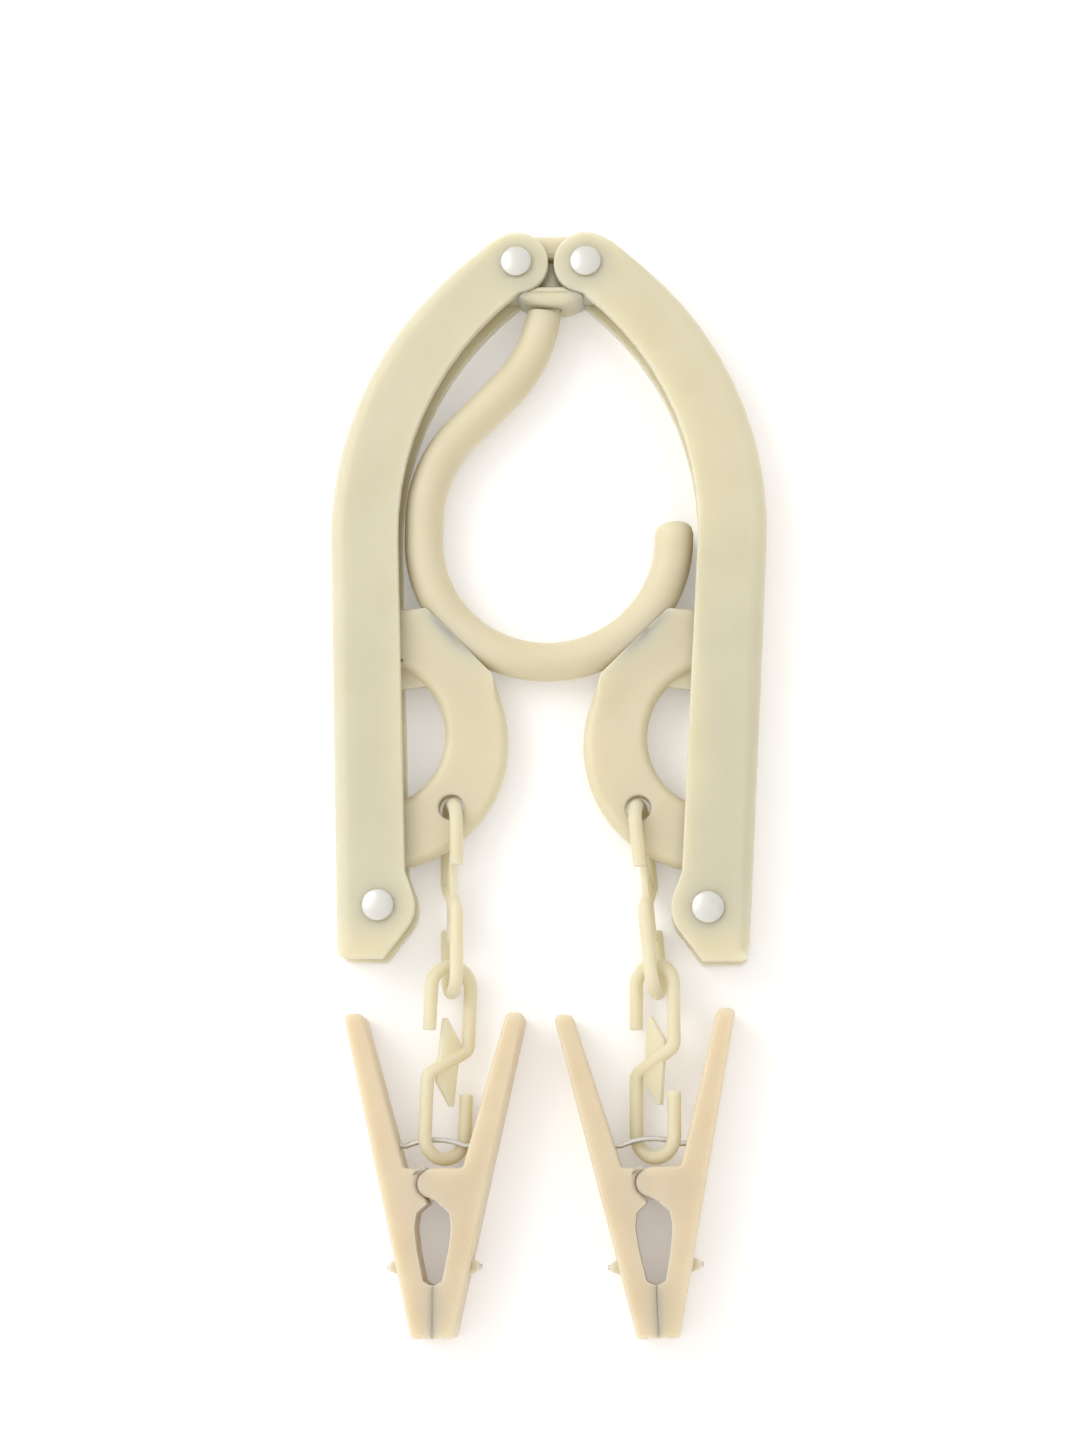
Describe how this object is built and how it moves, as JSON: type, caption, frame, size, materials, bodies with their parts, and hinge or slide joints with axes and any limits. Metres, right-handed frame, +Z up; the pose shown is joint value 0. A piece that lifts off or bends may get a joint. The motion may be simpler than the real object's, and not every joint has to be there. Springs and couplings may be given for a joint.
{
  "type": "folding clothes hanger",
  "caption": "Pocket clothes hanger folded flat: swivelling hook, riveted channel arms, fold-out forearms, and a spring peg on a short chain at each side.",
  "frame": {"origin": "middle of the folded hanger's outline, on the table it lies on", "axes": "+Y from the pegs to the hub, +Z up out of the table, +X towards the right arm"},
  "size_m": [0.0762, 0.1918, 0.0108],
  "materials": {
    "hanger_plastic": "fine satin, cream",
    "peg_plastic": "satin, cream",
    "rivet_steel": "bright nickel plate",
    "spring_wire": "drawn wire"
  },
  "bodies": {
    "hub": {"hub": "hanger_plastic"},
    "hook": {"hook": "hanger_plastic"},
    "left_arm": {"left_arm": "hanger_plastic", "left_shoulder_rivet": "rivet_steel", "left_shoulder_washer": "rivet_steel", "left_elbow_rivet": "rivet_steel", "left_elbow_washer": "rivet_steel"},
    "left_forearm": {"left_forearm": "hanger_plastic"},
    "left_upper_link": {"left_upper_link": "hanger_plastic"},
    "left_lower_link": {"left_lower_link": "hanger_plastic"},
    "left_peg": {"left_peg_nose_half": "peg_plastic", "left_peg_spring": "spring_wire"},
    "left_peg_jaw": {"left_peg_socket_half": "peg_plastic"},
    "right_arm": {"right_arm": "hanger_plastic", "right_shoulder_rivet": "rivet_steel", "right_shoulder_washer": "rivet_steel", "right_elbow_rivet": "rivet_steel", "right_elbow_washer": "rivet_steel"},
    "right_forearm": {"right_forearm": "hanger_plastic"},
    "right_upper_link": {"right_upper_link": "hanger_plastic"},
    "right_lower_link": {"right_lower_link": "hanger_plastic"},
    "right_peg": {"right_peg_nose_half": "peg_plastic", "right_peg_spring": "spring_wire"},
    "right_peg_jaw": {"right_peg_socket_half": "peg_plastic"}
  },
  "joints": [
    {"name": "hook_swivel", "type": "hinge", "parent": "hub", "child": "hook", "pos_m": [0, 0.08576, 0.0048], "axis": [0, 1, 0], "continuous": true},
    {"name": "left_arm_swing", "type": "hinge", "parent": "hub", "child": "left_arm", "pos_m": [-0.00615, 0.09026, 0.0048], "axis": [0, 0, -1], "range_deg": [0, 110]},
    {"name": "left_forearm_fold", "type": "hinge", "parent": "left_arm", "child": "left_forearm", "pos_m": [-0.02786, -0.02434, 0.0048], "axis": [0, 0, -1], "range_deg": [0, 180]},
    {"name": "left_upper_link_hang", "type": "hinge", "parent": "left_forearm", "child": "left_upper_link", "pos_m": [-0.01606, -0.00704, 0.0048], "axis": [0, 0, -1], "range_deg": [-105, 0]},
    {"name": "left_lower_link_swing", "type": "hinge", "parent": "left_upper_link", "child": "left_lower_link", "pos_m": [-0.01549, -0.03424, 0.0048], "axis": [1, 0, 0], "range_deg": [-60, 60]},
    {"name": "left_peg_swing", "type": "hinge", "parent": "left_lower_link", "child": "left_peg", "pos_m": [-0.01627, -0.06333, 0.0048], "axis": [1, 0, 0], "range_deg": [-25, 25]},
    {"name": "left_peg_jaw_open", "type": "hinge", "parent": "left_peg", "child": "left_peg_jaw", "pos_m": [-0.01786, -0.07066, 0.0048], "axis": [0, 0, -1], "range_deg": [0, 18], "stiffness_Nm_per_rad": 0.06, "springref_deg": -45.84, "deforming": ["left_peg_spring"]},
    {"name": "right_arm_swing", "type": "hinge", "parent": "hub", "child": "right_arm", "pos_m": [0.00615, 0.09026, 0.0048], "axis": [0, 0, 1], "range_deg": [0, 110]},
    {"name": "right_forearm_fold", "type": "hinge", "parent": "right_arm", "child": "right_forearm", "pos_m": [0.02786, -0.02434, 0.0048], "axis": [0, 0, 1], "range_deg": [0, 180]},
    {"name": "right_upper_link_hang", "type": "hinge", "parent": "right_forearm", "child": "right_upper_link", "pos_m": [0.01606, -0.00704, 0.0048], "axis": [0, 0, 1], "range_deg": [-105, 0]},
    {"name": "right_lower_link_swing", "type": "hinge", "parent": "right_upper_link", "child": "right_lower_link", "pos_m": [0.01894, -0.03359, 0.0048], "axis": [1, 0, 0], "range_deg": [-60, 60]},
    {"name": "right_peg_swing", "type": "hinge", "parent": "right_lower_link", "child": "right_peg", "pos_m": [0.01907, -0.06269, 0.0048], "axis": [1, 0, 0], "range_deg": [-25, 25]},
    {"name": "right_peg_jaw_open", "type": "hinge", "parent": "right_peg", "child": "right_peg_jaw", "pos_m": [0.01843, -0.07003, 0.0048], "axis": [0, 0, -1], "range_deg": [0, 18], "stiffness_Nm_per_rad": 0.06, "springref_deg": -45.84, "deforming": ["right_peg_spring"]}
  ],
  "couplings": [
    {"joint": "left_forearm_fold", "follows": "left_arm_swing", "ratio": 1.6364},
    {"joint": "left_upper_link_hang", "follows": "left_arm_swing", "ratio": -0.9},
    {"joint": "right_forearm_fold", "follows": "right_arm_swing", "ratio": 1.6364},
    {"joint": "right_upper_link_hang", "follows": "right_arm_swing", "ratio": -0.95}
  ]
}
